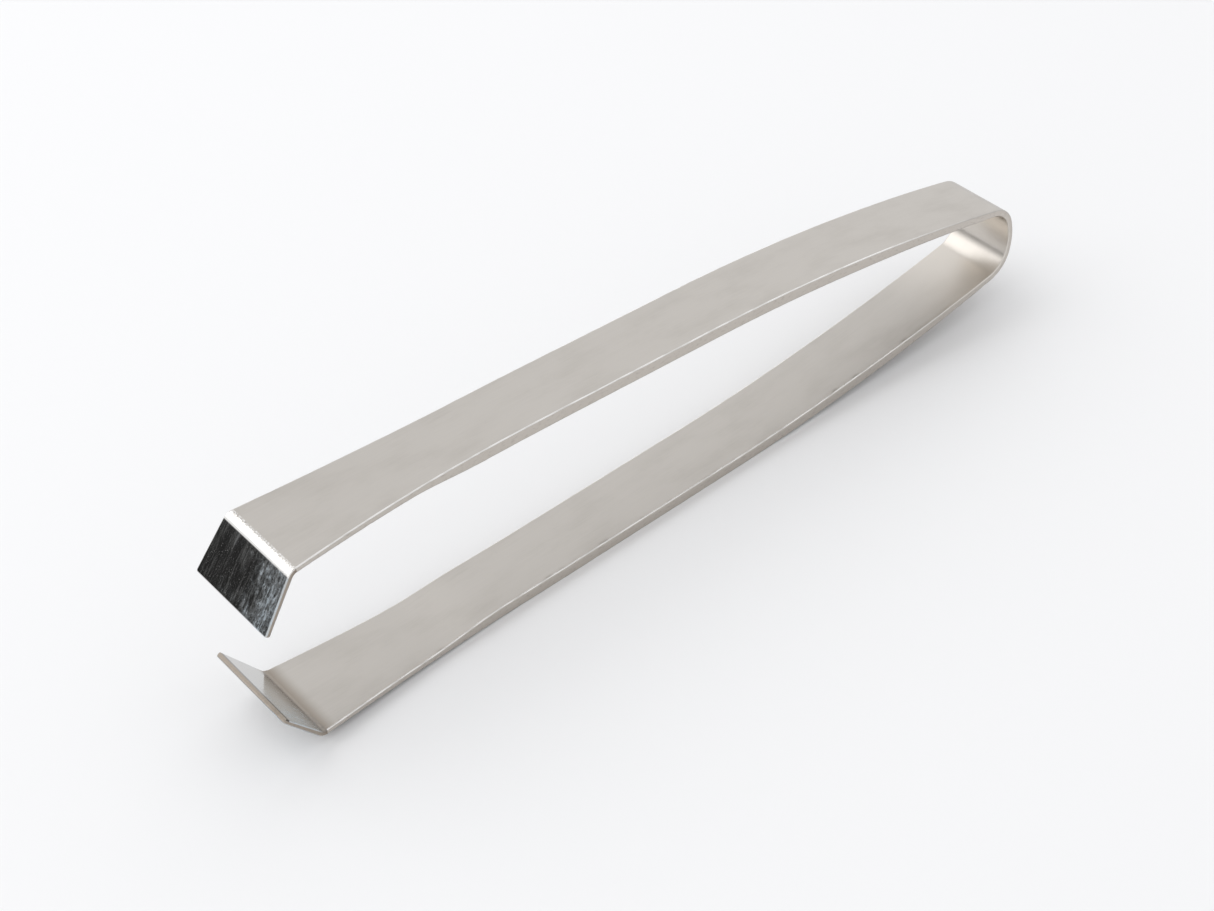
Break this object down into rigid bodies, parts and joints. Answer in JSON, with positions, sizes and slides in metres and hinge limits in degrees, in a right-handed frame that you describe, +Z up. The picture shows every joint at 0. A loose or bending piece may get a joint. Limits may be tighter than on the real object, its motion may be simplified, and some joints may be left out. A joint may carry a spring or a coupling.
{
  "type": "spring tongs",
  "caption": "One-piece spring tongs bent from stainless strip, with bowed arms, a thinned bow as spring and wide flat jaws turned inward, for gripping fish bones or print edges.",
  "frame": {"origin": "on the table, at the middle of the footprint's box, with the tongs lying on the belly of the lower arm", "axes": "+X along the tongs from the jaws towards the bow, Y across the strip, +Z up from the table towards the upper arm"},
  "size_m": [0.1503, 0.0178, 0.0345],
  "materials": {
    "satin_steel": "stainless, brushed lengthwise to a satin finish, edges broken",
    "polished_steel": "stainless, outer face polished, gripping edge ground"
  },
  "bodies": {
    "lower_arm": {"lower_arm": "satin_steel", "lower_jaw": "polished_steel"},
    "spring_bow": {"spring_bow": "satin_steel"},
    "upper_arm": {"upper_arm": "satin_steel", "upper_jaw": "polished_steel"}
  },
  "joints": [
    {"name": "lower_bow_flex", "type": "hinge", "parent": "lower_arm", "child": "spring_bow", "pos_m": [0.06248, 0, 0.00584], "axis": [0, -1, 0], "range_deg": [0, 3.42], "stiffness_Nm_per_rad": 26},
    {"name": "upper_bow_flex", "type": "hinge", "parent": "spring_bow", "child": "upper_arm", "pos_m": [0.06302, 0, 0.02056], "axis": [0, -1, 0], "range_deg": [0, 3.42]}
  ],
  "couplings": [
    {"joint": "upper_bow_flex", "follows": "lower_bow_flex", "ratio": 1}
  ]
}
